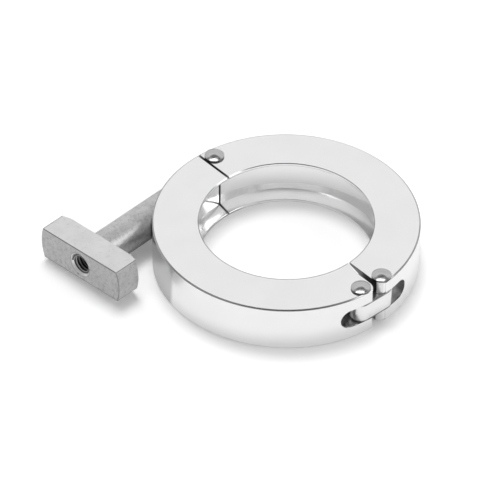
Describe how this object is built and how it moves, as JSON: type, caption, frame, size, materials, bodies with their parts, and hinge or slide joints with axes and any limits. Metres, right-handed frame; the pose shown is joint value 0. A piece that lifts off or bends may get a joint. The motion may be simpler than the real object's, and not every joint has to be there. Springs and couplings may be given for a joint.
{
  "type": "kf flange clamp",
  "caption": "Hinged clamp ring with a tapered inner groove that grips a pair of vacuum flanges, closed by a swing bolt and a tee nut.",
  "frame": {"origin": "centre of the bore in the plane of the lower face", "axes": "+Z along the bore axis; the hinge is at -Y, the closure at +Y, and the tee nut points towards -X"},
  "size_m": [0.0878, 0.0823, 0.0153],
  "materials": {
    "ring_aluminium": "satin",
    "link_aluminium": "satin",
    "pin_steel": "polished",
    "bolt_steel": "satin",
    "nut_steel": "matt, finely pitted"
  },
  "bodies": {
    "rear_half": {"rear_half": "ring_aluminium", "rear_hinge_pin": "pin_steel", "closure_pin": "pin_steel"},
    "hinge_link": {"hinge_link": "link_aluminium"},
    "front_half": {"front_half": "ring_aluminium", "front_hinge_pin": "pin_steel"},
    "swing_bolt": {"swing_bolt": "bolt_steel"},
    "tee_nut": {"tee_nut": "nut_steel"}
  },
  "joints": [
    {"name": "bolt_swing", "type": "hinge", "parent": "rear_half", "child": "swing_bolt", "pos_m": [0.00305, 0.0336, 0.007], "axis": [0, 0, -1], "range_deg": [0, 140]},
    {"name": "nut_turn", "type": "hinge", "parent": "swing_bolt", "child": "tee_nut", "pos_m": [0.00305, 0.0336, 0.007], "axis": [-0.9969, -0.0785, 0], "continuous": true},
    {"name": "rear_hinge", "type": "hinge", "parent": "rear_half", "child": "hinge_link", "pos_m": [0.0043, -0.0342, 0.007], "axis": [0, 0, 1], "range_deg": [0, 12.61]},
    {"name": "front_hinge", "type": "hinge", "parent": "hinge_link", "child": "front_half", "pos_m": [-0.0033, -0.0342, 0.007], "axis": [0, 0, 1], "range_deg": [0, 12.61]}
  ],
  "couplings": [
    {"joint": "rear_hinge", "follows": "bolt_swing", "ratio": 0.09},
    {"joint": "front_hinge", "follows": "bolt_swing", "ratio": 0.09}
  ]
}
